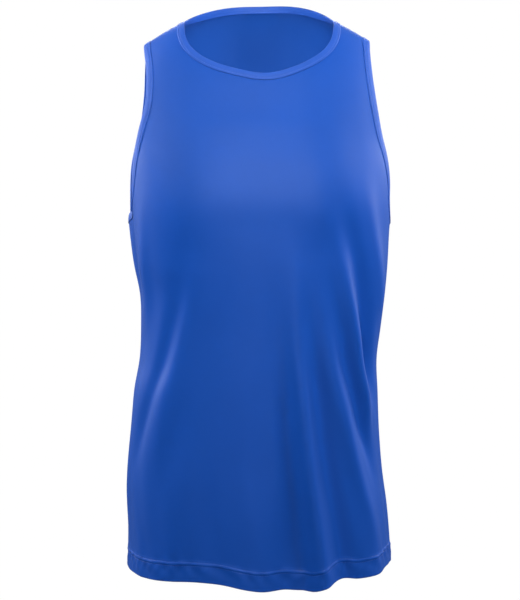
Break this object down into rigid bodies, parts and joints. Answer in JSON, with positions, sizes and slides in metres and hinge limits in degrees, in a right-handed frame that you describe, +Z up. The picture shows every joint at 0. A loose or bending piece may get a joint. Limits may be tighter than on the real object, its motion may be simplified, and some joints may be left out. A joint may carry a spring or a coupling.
{
  "type": "boxing tank top",
  "caption": "Sleeveless crew-neck boxing tank top in light knit, held out in its worn shape, with bound neck and armholes and a turned, cover-stitched hem.",
  "frame": {"origin": "midway between the two straps where they lie on the wearer's shoulders, level with the shoulder seams beside the neck", "axes": "+Z up from the hem to the neck, -Y out of the garment's front, -X towards the wearer's right side"},
  "size_m": [0.3364, 0.2372, 0.7293],
  "materials": {
    "knit_cloth": "royal blue polyester knit with a soft sheen",
    "binding_knit": "royal blue polyester knit, folded double"
  },
  "bodies": {
    "root": {"front_panel": "knit_cloth", "back_panel": "knit_cloth", "neck_binding": "binding_knit", "armhole_binding_right": "binding_knit", "armhole_binding_left": "binding_knit"}
  },
  "joints": []
}
